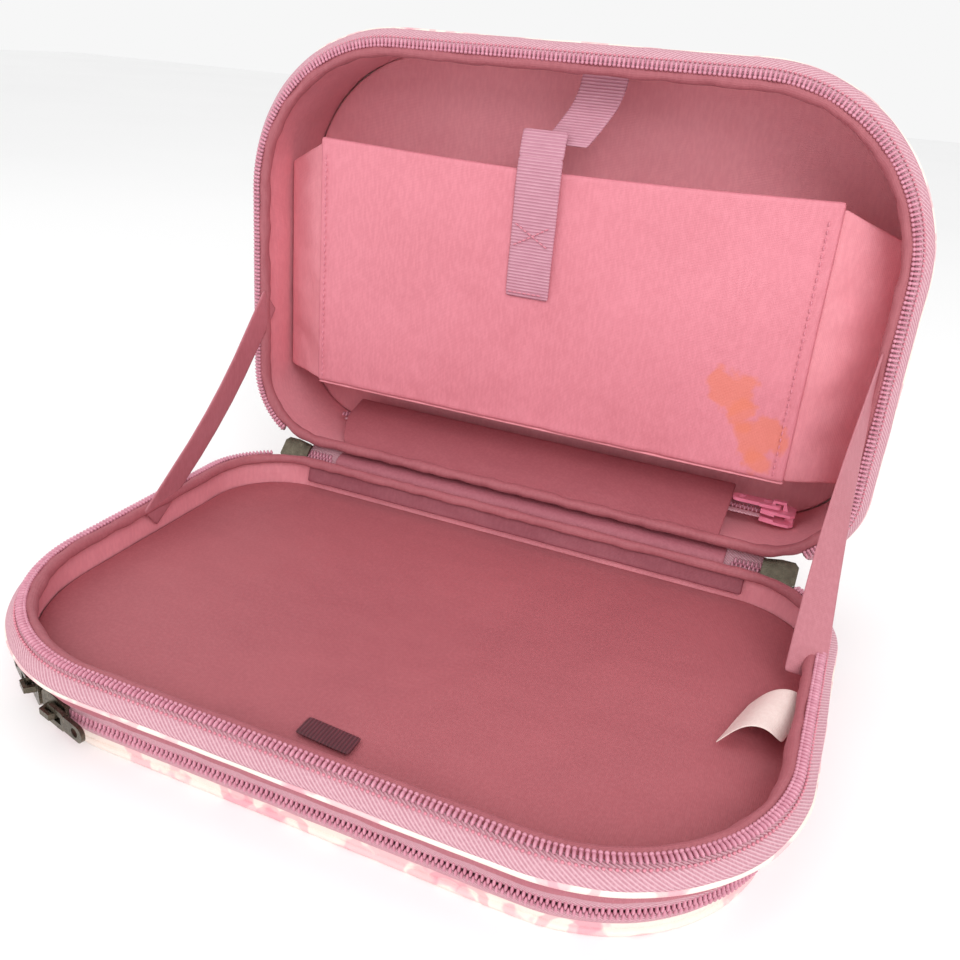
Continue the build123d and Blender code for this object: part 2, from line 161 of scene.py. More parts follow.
class Finish:
    """A material under construction, with one method for each common node."""

    def __init__(self, name, roughness=0.8, sheen=0.0, metal=0.0, coat=0.0):
        self.material = bpy.data.materials.new(name)
        self.material.use_nodes = True
        self.tree = self.material.node_tree
        self.shader = self.tree.nodes["Principled BSDF"]
        self.shader.inputs["Roughness"].default_value = roughness
        self.shader.inputs["Sheen Weight"].default_value = sheen
        self.shader.inputs["Sheen Roughness"].default_value = 0.45
        self.shader.inputs["Sheen Tint"].default_value = SHEEN_TINT
        self.shader.inputs["Metallic"].default_value = metal
        self.shader.inputs["Coat Weight"].default_value = coat
        self.place = self.node("ShaderNodeTexCoord").outputs["Object"]

    def node(self, kind, **values):
        node = self.tree.nodes.new(kind)
        for key, value in values.items():
            setattr(node, key, value)
        return node

    def feed(self, target, value):
        """Links an output to an input, or sets the input to a number or colour."""
        if isinstance(value, bpy.types.NodeSocket):
            self.tree.links.new(value, target)
        else:
            target.default_value = value

    def use_uv(self):
        self.place = self.node("ShaderNodeUVMap", uv_map="strip").outputs["UV"]

    def maths(self, operation, first, second=0.0):
        node = self.node("ShaderNodeMath", operation=operation)
        self.feed(node.inputs[0], first)
        self.feed(node.inputs[1], second)
        return node.outputs[0]

    def ramp(self, value, low, high, to_low=0.0, to_high=1.0):
        node = self.node("ShaderNodeMapRange", interpolation_type="SMOOTHSTEP")
        for socket, number in zip(node.inputs, (value, low, high, to_low, to_high)):
            self.feed(socket, number)
        return node.outputs[0]

    def axis(self, number):
        parts = self.node("ShaderNodeSeparateXYZ")
        self.feed(parts.inputs[0], self.place)
        return parts.outputs[number]

    def ripple(self, value, period):
        """A wave from 0 to 1 that repeats every period metres."""
        wave = self.maths("SINE", self.maths("MULTIPLY", value, 2 * math.pi / period))
        return self.ramp(wave, -1.0, 1.0)

    def noise(self, size, detail=3.0, stretch=(1, 1, 1)):
        """Noise whose lumps are about size metres across."""
        mapping = self.node("ShaderNodeMapping")
        self.feed(mapping.inputs["Vector"], self.place)
        mapping.inputs["Scale"].default_value = [k / size for k in stretch]
        node = self.node("ShaderNodeTexNoise")
        node.inputs["Scale"].default_value = 1.0
        node.inputs["Detail"].default_value = detail
        self.feed(node.inputs["Vector"], mapping.outputs[0])
        return node.outputs["Fac"]

    def mix(self, amount, first, second):
        node = self.node("ShaderNodeMix", data_type="RGBA")
        self.feed(node.inputs[0], amount)
        self.feed(node.inputs[6], first)
        self.feed(node.inputs[7], second)
        return node.outputs[2]

    def colour(self, value):
        self.feed(self.shader.inputs["Base Color"], value)

    def bump(self, height, depth, strength=1.0):
        """Stacks a bump of the given real depth on those already there."""
        node = self.node("ShaderNodeBump")
        node.inputs["Strength"].default_value = strength
        node.inputs["Distance"].default_value = depth
        self.feed(node.inputs["Height"], height)
        socket = self.shader.inputs["Normal"]
        if socket.links:
            self.tree.links.new(socket.links[0].from_socket, node.inputs["Normal"])
        self.tree.links.new(node.outputs[0], socket)


def spot(finish, centre, radius, ragged):
    """A mask of a ragged round stain in the x and z of a piece."""
    shift = finish.node("ShaderNodeVectorMath", operation="SUBTRACT")
    finish.feed(shift.inputs[0], finish.place)
    shift.inputs[1].default_value = centre
    flat = finish.node("ShaderNodeVectorMath", operation="MULTIPLY")
    finish.feed(flat.inputs[0], shift.outputs[0])
    flat.inputs[1].default_value = (1, 0, 1)
    length = finish.node("ShaderNodeVectorMath", operation="LENGTH")
    finish.feed(length.inputs[0], flat.outputs[0])
    wobble = finish.maths("MULTIPLY", finish.noise(9 * MM, 4.0), ragged)
    reach = finish.maths("ADD", length.outputs["Value"], wobble)
    return finish.ramp(reach, radius + ragged * 0.55, radius + ragged * 0.38)


# %% [markdown]
# ## The recipes and the palette
#
# Each cloth is one recipe in several tones: the lips and the tray's floor are the
# darkest linings, the pocket's face the palest. The floor's dark tone is painted shade:
# it is the same lining, darkened for the shade that falls inside the tray. Threads are
# about half a millimetre apart, twill ribs 1.5 mm and ribbon ribs 1.15 mm. The orange
# patch is a stain near the pocket's lower right corner.

# %% Cloth, tape and coil
def lining_cloth(name, light, dark, uv=False, sheen=0.12):
    """Plain-woven polyester lining: a fine grid of threads and soft creases."""
    finish = Finish(name, roughness=0.62, sheen=sheen)
    tone = finish.mix(finish.noise(38 * MM, 4.0), linear(dark), linear(light))
    fleck = finish.ramp(finish.noise(1.1 * MM, 2.0, (1, 1, 0.3)), 0.35, 0.7, 0.0, 0.16)
    tone = finish.mix(fleck, tone, linear([min(255, c + 24) for c in light]))
    finish.colour(tone)
    finish.bump(finish.noise(34 * MM, 2.0), 4 * MM, 0.5)
    finish.bump(finish.noise(9 * MM, 3.0), 0.8 * MM, 0.4)
    if uv:
        finish.use_uv()
    warp = finish.ripple(finish.axis(0), 0.55 * MM)
    weft = finish.ripple(finish.axis(1 if uv else 2), 0.55 * MM)
    finish.bump(finish.maths("ADD", warp, weft), 0.08 * MM, 0.5)
    return finish


def twill_tape(name, light, dark):
    """Zip tape: slanting twill ribs on a UV laid along the zip."""
    finish = Finish(name, roughness=0.72, sheen=0.12)
    finish.use_uv()
    slant = finish.maths("ADD", finish.axis(0), finish.maths("MULTIPLY", finish.axis(1), 1.6))
    rib = finish.ripple(slant, 1.5 * MM)
    grain = finish.noise(0.7 * MM, 2.0)
    tone = finish.mix(rib, linear(dark), linear(light))
    pale = linear([min(255, c + 22) for c in light])
    tone = finish.mix(finish.ramp(grain, 0.4, 0.75, 0.0, 0.35), tone, pale)
    finish.colour(tone)
    finish.bump(rib, 0.22 * MM, 0.8)
    finish.bump(grain, 0.1 * MM, 0.5)
    return finish


def grosgrain(name, light, dark):
    """Ribbed ribbon: raised ribs across its length."""
    finish = Finish(name, roughness=0.6, sheen=0.15)
    finish.use_uv()
    rib = finish.ripple(finish.axis(0), 1.15 * MM)
    edge = finish.noise(5 * MM, 3.0)
    finish.colour(finish.mix(finish.maths("MULTIPLY", rib, edge), linear(dark), linear(light)))
    finish.bump(rib, 0.25 * MM, 0.8)
    return finish


def nylon(name, light, dark):
    """Moulded nylon coil: slightly glossy, paler on its crowns."""
    finish = Finish(name, roughness=0.38, coat=0.15)
    finish.colour(finish.mix(finish.noise(3 * MM, 2.0), linear(dark), linear(light)))
    finish.bump(finish.noise(0.6 * MM, 2.0), 0.05 * MM, 0.4)
    return finish


def printed_cotton(name):
    """Cream cotton with a loose scatter of pink blots and small rings."""
    finish = Finish(name, roughness=0.78, sheen=0.1)
    big = finish.ramp(finish.noise(15 * MM, 3.0), 0.52, 0.57)
    cells = finish.node("ShaderNodeTexVoronoi")
    cells.inputs["Scale"].default_value = 62.0
    finish.feed(cells.inputs["Vector"], finish.place)
    from_ring = finish.maths("SUBTRACT", cells.outputs["Distance"], 0.32)
    ring = finish.ramp(finish.maths("ABSOLUTE", from_ring), 0.09, 0.05)
    tone = finish.mix(finish.noise(5 * MM, 3.0), linear((244, 233, 222)), linear((236, 218, 208)))
    tone = finish.mix(finish.maths("MULTIPLY", big, 0.6), tone, linear((231, 163, 176)))
    tone = finish.mix(finish.maths("MULTIPLY", ring, 0.5), tone, linear((221, 140, 158)))
    finish.colour(tone)
    warp = finish.ripple(finish.axis(0), 0.5 * MM)
    weft = finish.ripple(finish.axis(2), 0.5 * MM)
    finish.bump(finish.maths("ADD", warp, weft), 0.06 * MM, 0.5)
    finish.bump(finish.noise(9 * MM, 3.0), 0.5 * MM, 0.4)
    return finish


def worn_metal(name, light, dark, roughness=0.3):
    """Plated zinc: scratched, darker in its hollows."""
    finish = Finish(name, roughness=roughness, metal=1.0)
    finish.colour(finish.mix(finish.noise(2.5 * MM, 4.0), linear(dark), linear(light)))
    scratches = finish.noise(0.8 * MM, 4.0, (1, 6, 1))
    wear = finish.ramp(scratches, 0.3, 0.7, roughness - 0.1, roughness + 0.2)
    finish.feed(finish.shader.inputs["Roughness"], wear)
    finish.bump(scratches, 0.03 * MM, 0.5)
    return finish


def enamel(name, light, dark):
    finish = Finish(name, roughness=0.25, coat=0.8)
    finish.colour(finish.mix(finish.noise(3 * MM, 3.0), linear(dark), linear(light)))
    finish.bump(finish.noise(2 * MM, 2.0), 0.05 * MM, 0.3)
    return finish


LINING = lining_cloth("lining", (232, 152, 162), (214, 130, 142), uv=True)
LIP_LINING = lining_cloth("lip_lining", (172, 96, 104), (148, 76, 86), uv=True)
PANEL_LINING = lining_cloth("panel_lining", (234, 154, 164), (218, 134, 146))
# The tray's floor is a darker copy of the lining: painted shade, for the shade inside the tray.
SHADED_FLOOR_LINING = lining_cloth("floor_lining_painted_shade", (172, 92, 99), (152, 78, 86))
FLAP_LINING = lining_cloth("flap_lining", (176, 96, 105), (156, 80, 90), uv=True)
GUSSET_CLOTH = lining_cloth("gusset_cloth", (182, 106, 118), (158, 82, 96), uv=True)
TAPE = twill_tape("zip_tape_twill", (210, 166, 176), (186, 126, 140))
COIL = nylon("nylon_coil", (222, 158, 176), (180, 108, 128))
RIBBON = grosgrain("grosgrain", (214, 164, 178), (186, 126, 144))
STAY_RIBBON = lining_cloth("stay_ribbon", (188, 118, 128), (168, 98, 108), uv=True)
PRINT = printed_cotton("printed_cotton")
NICKEL = worn_metal("dark_nickel", (128, 120, 104), (58, 52, 46))
PINK_ENAMEL = enamel("pink_enamel", (250, 156, 184), (240, 128, 160))
BINDING = lining_cloth("hinge_binding_cloth", (156, 84, 95), (128, 62, 74), uv=True)
LOOPS = lining_cloth("loop_fleece", (214, 132, 146), (194, 110, 126), uv=True, sheen=0.3)
POCKET_CLOTH = lining_cloth("pocket_cloth", (222, 136, 150), (202, 116, 128))
STAINS = (((74, 93, 92), 8), ((88, 93, 77), 9), ((80, 93, 84), 5), ((90, 93, 66), 5))
STAIN_COLOUR = linear((222, 124, 100))
for centre, radius in STAINS:
    clean = POCKET_CLOTH.shader.inputs["Base Color"].links[0].from_socket
    mask = spot(POCKET_CLOTH, [c * MM for c in centre], radius * MM, 20 * MM)
    POCKET_CLOTH.colour(POCKET_CLOTH.mix(POCKET_CLOTH.maths("MULTIPLY", mask, 0.7), clean, STAIN_COLOUR))
WOVEN = grosgrain("woven_label_cloth", (112, 48, 60), (70, 24, 34))
PAPER_LABEL = lining_cloth("care_label_cloth", (240, 222, 216), (222, 198, 192), uv=True)
THREAD = nylon("sewing_thread", (226, 146, 162), (200, 114, 132))
print("finishes:", len(bpy.data.materials))

# %% [markdown]
# ## A strip wrapped round the outline
#
# A wall, a tape or a lip is the same cross-section carried round the case. A grid is
# the natural start: one side of it becomes the way round, the other the way across
# the section. The section is a closed loop, so the strip has a real thickness, and
# its UV map holds metres in both directions.

# %% Wrapping helpers
STEP = 3 * MM


def ribbon_section(line, thickness):
    """A closed section of the given thickness about a line of (inset, depth) points."""
    points = [Vector(point) * MM for point in line]
    sides = []
    for index, point in enumerate(points):
        before = points[max(index - 1, 0)]
        after = points[min(index + 1, len(points) - 1)]
        way = (after - before).normalized()
        sides.append(Vector((way.y, -way.x)) * thickness * MM / 2)
    there = [point + side for point, side in zip(points, sides)]
    back = [point - side for point, side in zip(points, sides)]
    return there + back[::-1]


def bead_section(inset, depth, radius, count=10):
    """A round section."""
    turn = 2 * math.pi / count
    spokes = [Vector((math.cos(i * turn), math.sin(i * turn))) for i in range(count)]
    return [Vector((inset, depth)) * MM + spoke * radius * MM for spoke in spokes]


def finish_mesh(bm, name, finish):
    """Turns a bmesh into a smooth-shaded object with one material."""
    mesh = bpy.data.meshes.new(name)
    bm.to_mesh(mesh)
    bm.free()
    piece = bpy.data.objects.new(name, mesh)
    bpy.context.scene.collection.objects.link(piece)
    mesh.materials.append(finish.material)
    mesh.shade_smooth()
    return piece


def soften(piece, levels=1):
    """Adds a subdivision surface, the same in the view and in the render."""
    modifier = piece.modifiers.new("soft", "SUBSURF")
    modifier.levels = levels
    modifier.render_levels = levels
    return piece


def strip_grid(counts, place, size):
    """A grid with its UV map in metres; place(u, v) says where each vertex goes."""
    bm = bmesh.new()
    uv = bm.loops.layers.uv.new("strip")
    bmesh.ops.create_grid(bm, x_segments=counts[0], y_segments=counts[1], size=0.5)
    cells = {vertex: (vertex.co.x + 0.5, vertex.co.y + 0.5) for vertex in bm.verts}
    for vertex, (u, v) in cells.items():
        vertex.co = place(u, v)
    for face in bm.faces:
        for corner in face.loops:
            u, v = cells[corner.vert]
            corner[uv].uv = (u * size[0], v * size[1])
    return bm


def wrap(name, finish, storey, section, span=None, step=STEP, wobble=None):
    """Carries a closed section round a storey's outline, all round or over a span."""
    start, end = span or (0.0, ROUND)
    length = end - start
    loop = section + section[:1]
    girth = sum((after - before).length for before, after in zip(loop, loop[1:]))
    rows = len(section)

    def place(u, v):
        row = round(v * rows) % rows
        inset, depth = loop[row]
        point, outward = outline_at(start + u * length)
        if wobble:
            shift = wobble(point, row)
            inset, depth = inset + shift[0], depth + shift[1]
        flat = point - outward * inset
        return storey @ Vector((flat.x, flat.y, depth))

    bm = strip_grid((max(8, round(length / step)), rows), place, (length, girth))
    bmesh.ops.remove_doubles(bm, verts=bm.verts, dist=1e-6)
    if span:
        bmesh.ops.holes_fill(bm, edges=bm.edges, sides=0)
    bmesh.ops.recalc_face_normals(bm, faces=bm.faces)
    piece = finish_mesh(bm, name, finish)
    print(name, len(piece.data.polygons), "faces")
    return piece


def pucker(size, reach, seed, sink=0.5):
    """Small gathers along a seam: lumps about size metres long, reach metres high."""
    def shift(point, row):
        here = Vector((point.x, point.y, 0)) / size + Vector((0, 0, row * 0.35 + seed))
        height = reach * (noise.noise(here) + 0.5 * noise.noise(here * 2.3))
        return height, height * sink
    return shift


def show(piece, body, *nodes, slot):
    """Puts a finished piece on its body, in place of the CAD nodes it stands for."""
    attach(piece, body)
    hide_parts(*nodes)
    return piece


# %% [markdown]
# ## Sheets
#
# A strap, a flap or a pocket face is flat cloth bent along one path. The grid's first
# direction follows the path and the second runs across it, and solidify gives both
# skins and the edge between them.

# %% Sheet helpers
def sheet(name, finish, counts, place, size, thickness):
    """A closed sheet whose middle is place(u, v), with u and v from 0 to 1."""
    bm = strip_grid(counts, place, size)
    bmesh.ops.recalc_face_normals(bm, faces=bm.faces)
    for vertex in bm.verts:
        vertex.co -= vertex.normal * thickness * MM / 2
    bmesh.ops.solidify(bm, geom=bm.faces[:], thickness=-thickness * MM)
    bmesh.ops.recalc_face_normals(bm, faces=bm.faces)
    piece = finish_mesh(bm, name, finish)
    print(name, len(piece.data.polygons), "faces")
    return piece


def along(points, t):
    """A place on a polyline of millimetre points, t from 0 to 1 of its length."""
    points = [Vector(point) for point in points]
    lengths = [(b - a).length for a, b in zip(points, points[1:])]
    left = t * sum(lengths)
    for a, b, length in zip(points, points[1:], lengths):
        if left <= length + 1e-9:
            return a.lerp(b, left / length)
        left -= length
    return points[-1]


def rounded(points, times=2):
    """Cuts a polyline's corners, for a path that bends instead of folding."""
    points = [Vector(point) for point in points]
    for _ in range(times):
        cut = [points[0]]
        for a, b in zip(points, points[1:]):
            cut += [a.lerp(b, 0.25), a.lerp(b, 0.75)]
        points = cut + [points[-1]]
    return points


def strap(name, finish, points, across, width, thickness, lumps=0.0, seed=0.0):
    """A ribbon of the given width along a path, across being the way it is wide."""
    path = rounded(points)
    length = sum((b - a).length for a, b in zip(path, path[1:])) * MM
    across = Vector(across)

    def place(u, v):
        spot = along(path, u) + across * (v - 0.5) * width
        lump = noise.noise(spot / 9.0 + Vector((seed, 0, 0))) * lumps
        return (spot + across.cross(path[1] - path[0]).normalized() * lump) * MM

    counts = (max(6, round(length / (2 * MM))), max(2, round(width / 2)))
    return soften(sheet(name, finish, counts, place, (length, width * MM), thickness))


def lid_at(x, height, depth):
    """Millimetres on the lid, height above the hinge, as a millimetre frame point."""
    return LID @ (Vector((x, HALF_LENGTH / MM - height, depth)) * MM) / MM


# %% [markdown]
# ## Zip teeth
#
# A nylon zip is a coil sewn to its tape. From above, an open row is a line of short
# rounded bars, about 1.57 mm apart, with a row of stitches behind them. Each bar is a
# small sphere stretched across the tape. Spheres are made in small batches, since a
# bmesh operator slows down as its mesh grows.

# %% Teeth
PITCH = 1.57 * MM
BATCH = 24


def frame_at(storey, s, inset, depth):
    """Axes at a place on a strip: along it, outwards, and deeper."""
    point, outward = outline_at(s)
    flat = point - outward * inset
    axes = Vector((-outward.y, outward.x, 0)), Vector((outward.x, outward.y, 0)), Vector((0, 0, 1))
    turn = Matrix(axes).transposed().to_4x4()
    return storey @ Matrix.Translation(Vector((flat.x, flat.y, depth))) @ turn


def grow(size):
    """A scaling matrix from a size in millimetres, for a sphere of radius one."""
    return Matrix.Diagonal(Vector([part * MM for part in size] + [1]))


def row_places(storey, span, inset, depth, size, shift=0.0):
    """The matrix of each bar in one row of an open zip."""
    start, end = span
    count = int((end - start) / PITCH)
    steps = [start + (index + 0.5 + shift) * PITCH for index in range(count)]
    return [frame_at(storey, s, inset * MM, depth * MM) @ grow(size) for s in steps]


def beads(name, finish, places, parts=(8, 5)):
    """One mesh that holds a small sphere at every place."""
    bm = bmesh.new()
    for first in range(0, len(places), BATCH):
        batch = bmesh.new()
        for place in places[first:first + BATCH]:
            bmesh.ops.create_uvsphere(batch, u_segments=parts[0], v_segments=parts[1],
                                      radius=1.0, matrix=place)
        bmesh.ops.recalc_face_normals(batch, faces=batch.faces)
        part = bpy.data.meshes.new("batch")
        batch.to_mesh(part)
        batch.free()
        bm.from_mesh(part)
        bpy.data.meshes.remove(part)
    piece = finish_mesh(bm, name, finish)
    print(name, len(places), "turns,", len(piece.data.polygons), "faces")
    return piece


# %% [markdown]
# ## The rims
#
# Tray and lid meet at two matching rims. Going outwards, each has a puckered lip of
# lining, the coil, the zip tape that flares out from under it, and a thin piping of
# the printed cloth where the tape is sewn to the side.

# %% Rims of the tray and the lid
OPEN = (ZIP_START, ROUND - ZIP_START)
LIP = ribbon_section([(2.6, 2.9), (3.2, 1.7), (4.4, 1.2), (5.6, 1.6), (6.2, 2.7), (6.1, 4.2)], 0.9)
FLARE = [(4.6, 2.9), (3.0, 2.5), (1.6, 2.75), (0.4, 3.1), (-1.0, 4.2), (-2.2, 5.5), (-3.0, 6.9)]
PIPING = bead_section(-2.3, 7.5, 1.15)


def main_rim(storey, body, seed):
    """The lip, tape, coil and piping of one rim."""
    lip = wrap(f"{body}_lip_roll", LIP_LINING, storey, LIP, wobble=pucker(4 * MM, 0.8 * MM, seed))
    show(soften(lip), body, f"{body}_lip", slot="lining")
    tape = wrap(f"{body}_main_tape", TAPE, storey, ribbon_section(FLARE, 0.7), OPEN,
                wobble=pucker(22 * MM, 0.35 * MM, seed + 1))
    show(soften(tape), body, f"{body}_zip_tape", slot="zip_tape")
    bars = row_places(storey, OPEN, 1.7, 1.25, (0.55, 1.55, 0.85))
    heads = row_places(storey, OPEN, 2.9, 1.0, (0.68, 0.62, 0.7))
    row = beads(f"{body}_main_coil", COIL, bars + heads)
    show(row, body, f"{body}_zip_coil", slot="zip_coil")
    stitches = row_places(storey, OPEN, -0.1, 2.7, (0.5, 0.45, 0.4), 0.5)
    thread = beads(f"{body}_coil_stitches", THREAD, stitches, (6, 4))
    show(thread, body, slot="zip_coil")
    inner = OPEN[0] + 2 * MM, OPEN[1] - 2 * MM
    piping = wrap(f"{body}_print_piping", PRINT, storey, PIPING, inner,
                  wobble=pucker(14 * MM, 0.35 * MM, seed + 2))
    show(soften(piping), body, f"{body}_piping", slot="outer_print")


main_rim(TRAY, "tray", 1.0)
main_rim(LID, "lid", 11.0)

# %% [markdown]
# ## Walls and gussets
#
# Inside, each storey has a wall of lining. Outside, a strip of plain cloth is gathered
# a little between its seams. The base has only a low printed wall and a piped edge.

# %% Walls
def side(name, finish, storey, body, line, thickness, ruffle, node, slot):
    """A cloth side wall all round, ruffled by small gathers."""
    middle = [Vector(line[0]).lerp(Vector(line[-1]), k / 6) for k in range(7)]
    piece = wrap(name, finish, storey, ribbon_section(middle, thickness), wobble=ruffle)
    return show(soften(piece), body, node, slot=slot)


WALLS = (
    ("tray_wall_cloth", LINING, TRAY, "tray", [(3.0, 3.0), (3.4, 15.4)], (9, 0.35, 3.0),
     "tray_wall", "lining"),
    ("lid_wall_cloth", LINING, LID, "lid", [(3.0, 3.0), (3.4, 44.2)], (12, 0.45, 4.0),
     "lid_wall", "lining"),
    ("tray_gusset_cloth", GUSSET_CLOTH, TRAY, "tray", [(-0.6, 7.9), (1.4, 14.4)], (6, 0.5, 5.0),
     "tray_gusset", "gusset_cloth"),
    ("lid_gusset_cloth", GUSSET_CLOTH, LID, "lid", [(0.2, 8.0), (1.6, 45.4)], (14, 0.5, 6.0),
     "lid_gusset", "gusset_cloth"),
    ("base_wall_cloth", PRINT, TRAY, "base", [(6.0, 25.6), (6.6, 29.6)], (8, 0.3, 7.0),
     "base_wall", "outer_print"),
)
for name, finish, storey, body, line, (size, reach, seed), node, slot in WALLS:
    side(name, finish, storey, body, line, 1.0, pucker(size * MM, reach * MM, seed, 0), node, slot)

for number, (name, storey, body, bead, node) in enumerate((
        ("base_edge_piping", TRAY, "base", bead_section(6.2, 29.7, 1.25), "base_piping"),
        ("lid_edge_piping", LID, "lid", bead_section(1.9, 46.0, 1.2), "lid_panel_piping"))):
    piping = wrap(name, PRINT, storey, bead, wobble=pucker(10 * MM, 0.2 * MM, 20.0 + number))
    show(soften(piping), body, node, slot="outer_print")

# %% [markdown]
# ## The closed lower zip
#
# Below the tray a second zip holds the base on. It is closed, so its two rows sit in
# each other's gaps, with a twill tape above and below.

# %% Lower zip
UPPER_TAPE = [(1.4, 14.1), (2.4, 15.4), (3.3, 16.8), (3.8, 18.4), (3.9, 19.6)]
LOWER_TAPE = [(3.9, 21.6), (4.0, 22.8), (4.6, 24.0), (5.4, 25.4), (6.0, 26.2)]
upper = wrap("lower_zip_upper_tape", TAPE, TRAY, ribbon_section(UPPER_TAPE, 0.8), OPEN,
             wobble=pucker(12 * MM, 0.3 * MM, 31.0))
show(soften(upper), "tray", "lower_zip_tape_top", slot="zip_tape")
lower = wrap("lower_zip_lower_tape", TAPE, TRAY, ribbon_section(LOWER_TAPE, 0.8), OPEN,
             wobble=pucker(12 * MM, 0.3 * MM, 32.0))
show(soften(lower), "base", "lower_zip_tape_bottom", slot="zip_tape")
tray_teeth = row_places(TRAY, OPEN, 3.5, 19.7, (0.5, 0.8, 1.25))
base_teeth = row_places(TRAY, OPEN, 3.5, 21.5, (0.5, 0.8, 1.25), 0.5)
show(beads("lower_zip_tray_teeth", COIL, tray_teeth), "tray", "lower_zip_coil_top", slot="zip_coil")
show(beads("lower_zip_base_teeth", COIL, base_teeth), "base", "lower_zip_coil_bottom", slot="zip_coil")

# %% [markdown]
# ## Padded panels
#
# The tray's floor, the lid's back, the pocket and the outer covers have foam under the
# cloth. Each grid is puffed by a short cloth simulation whose seam is pinned, so that
# it crowns between its edges the way a sewn pad does.

# %% Pads
PUFF_FRAMES = 12


def puff(piece, pressure, cap, pinned):
    """Blows a closed pad up a little and keeps the result; nothing moves past cap."""
    group = piece.vertex_groups.new(name="seam")
    group.add(pinned, 1.0, "REPLACE")
    cloth = piece.modifiers.new("cloth", "CLOTH")
    settings = cloth.settings
    settings.quality = 4
    settings.mass = 0.2
    settings.tension_stiffness = 12
    settings.compression_stiffness = 12
    settings.bending_stiffness = 0.3
    settings.use_pressure = True
    settings.uniform_pressure_force = pressure
    settings.effector_weights.gravity = 0
    settings.vertex_group_mass = "seam"
    cloth.collision_settings.use_collision = False
    scene = bpy.context.scene
    for number in range(1, PUFF_FRAMES + 1):
        scene.frame_set(number)
    shaped = piece.evaluated_get(bpy.context.evaluated_depsgraph_get()).to_mesh()
    ways = [after.co - vertex.co for vertex, after in zip(piece.data.vertices, shaped.vertices)]
    piece.modifiers.remove(cloth)
    scene.frame_set(1)
    for vertex, way in zip(piece.data.vertices, ways):
        if way.length > cap:
            way = way.normalized() * cap
        vertex.co += way
    piece.vertex_groups.remove(group)
    print(piece.name, "puffed by up to", round(max(way.length for way in ways) / MM, 2), "mm")


SEAM_REACH = 1.5 * MM


def inside_outline(x, y, inset):
    """How far a point lies inside the outline drawn at an inset; negative outside."""
    wide, long = HALF_WIDTH - inset, HALF_LENGTH - inset
    radius = (FRONT_RADIUS if y < 0 else BACK_RADIUS) - inset
    dx, dy = abs(x) - (wide - radius), abs(y) - (long - radius)
    if dx > 0 and dy > 0:
        return radius - math.hypot(dx, dy)
    return min(wide - abs(x), long - abs(y))


def left_edge(v):
    """The outline's left half from front to back, v from 0 to 1."""
    straight = HALF_WIDTH - BACK_RADIUS
    reach = ROUND / 2 - straight - (HALF_WIDTH - FRONT_RADIUS)
    return outline_at(straight + reach * (1 - v))


def pad(name, finish, storey, inset, depth, thickness, pressure, cap, counts=(64, 56)):
    """A padded panel that fills the outline, its seam pinned at the edge."""
    def place(u, v):
        point, outward = left_edge(v)
        flat = point - outward * inset * MM
        return storey @ Vector((flat.x * (1 - 2 * u), flat.y, depth * MM))

    size = (2 * HALF_WIDTH, 2 * HALF_LENGTH)
    piece = sheet(name, finish, counts, place, size, thickness)
    rim = []
    to_storey = storey.inverted()
    for vertex in piece.data.vertices:
        flat = to_storey @ vertex.co
        if inside_outline(flat.x, flat.y, inset * MM) < SEAM_REACH:
            rim.append(vertex.index)
    puff(piece, pressure, cap, rim)
    return soften(piece)


floor_pad = pad("tray_floor_pad", SHADED_FLOOR_LINING, TRAY, 3.9, 14.7, 1.2, 3.0, 1.6 * MM)
show(floor_pad, "tray", "tray_floor", slot="padded_lining")
back_pad = pad("lid_back_pad", PANEL_LINING, LID, 3.9, 43.0, 2.0, 3.0, 1.5 * MM)
show(back_pad, "lid", "lid_back_lining", slot="padded_lining")
lid_cover = pad("lid_cover_pad", PRINT, LID, 2.4, 46.0, 2.0, 3.0, 1.5 * MM)
show(lid_cover, "lid", "lid_panel", slot="outer_print")
base_cover = pad("base_cover_pad", PRINT, TRAY, 7.2, 29.6, 1.8, 0.0, 0.0)
show(base_cover, "base", "base_panel", slot="outer_print")
base_floor = pad("base_floor_pad", PANEL_LINING, TRAY, 7.4, 28.0, 1.0, 0.0, 0.0)
show(base_floor, "base", "base_lining", slot="padded_lining")

# %% [markdown]
# ## The pocket
#
# The pocket's face is a padded panel that stands off the lid's back on two slanted
# gussets. Its top is a turned hem that sags a little between them, and gathers start
# at the bottom seam.

# %% Pocket
POCKET_HALF = 98
POCKET_FOOT, POCKET_HEM = 30, 129
POCKET_DEPTH = 9.5


def pocket_place(u, v):
    """The middle of the pocket's face, with its folds."""
    x = (u * 2 - 1) * POCKET_HALF
    sag = 2.2 * math.sin(math.pi * u) * v
    height = POCKET_FOOT + v * (POCKET_HEM - POCKET_FOOT) - sag
    gather = noise.noise(Vector((x / 9, v * 1.6, 3.0))) * 1.1 * (1 - v) ** 2
    wave = noise.noise(Vector((x / 42, height / 34, 8.0))) * 1.5
    lean = -1.6 * math.sin(math.pi * u) * v
    return lid_at(x, height, POCKET_DEPTH + gather + wave * math.sin(math.pi * u) + lean) * MM


pocket = sheet("pocket_face_pad", POCKET_CLOTH, (96, 48), pocket_place, (0.196, 0.099), 2.4)
low, high = (lid_at(0, height, POCKET_DEPTH).z * MM for height in (POCKET_FOOT + 3, POCKET_HEM - 5))
seam = [v.index for v in pocket.data.vertices
        if abs(v.co.x) > (POCKET_HALF - 2) * MM or not low < v.co.z < high]
puff(pocket, 3.0, 1.4 * MM, seam)
show(soften(pocket), "lid", "pocket_front", slot="padded_lining")


def gusset(name, side_sign, node):
    """A slanted pocket side, creased where it was gathered into the seam."""
    def place(u, v):
        x = side_sign * (97.5 + 22 * u)
        height = 30 + v * 87 + 10 * v * (1 - u)
        fold = noise.noise(Vector((u * 1.5, v * 9, side_sign))) * 1.8 * math.sin(math.pi * u)
        return lid_at(x, height, 10.5 + 12.2 * u + fold) * MM
    piece = sheet(name, PANEL_LINING, (12, 40), place, (0.025, 0.087), 1.0)
    show(soften(piece), "lid", node, slot="lining")


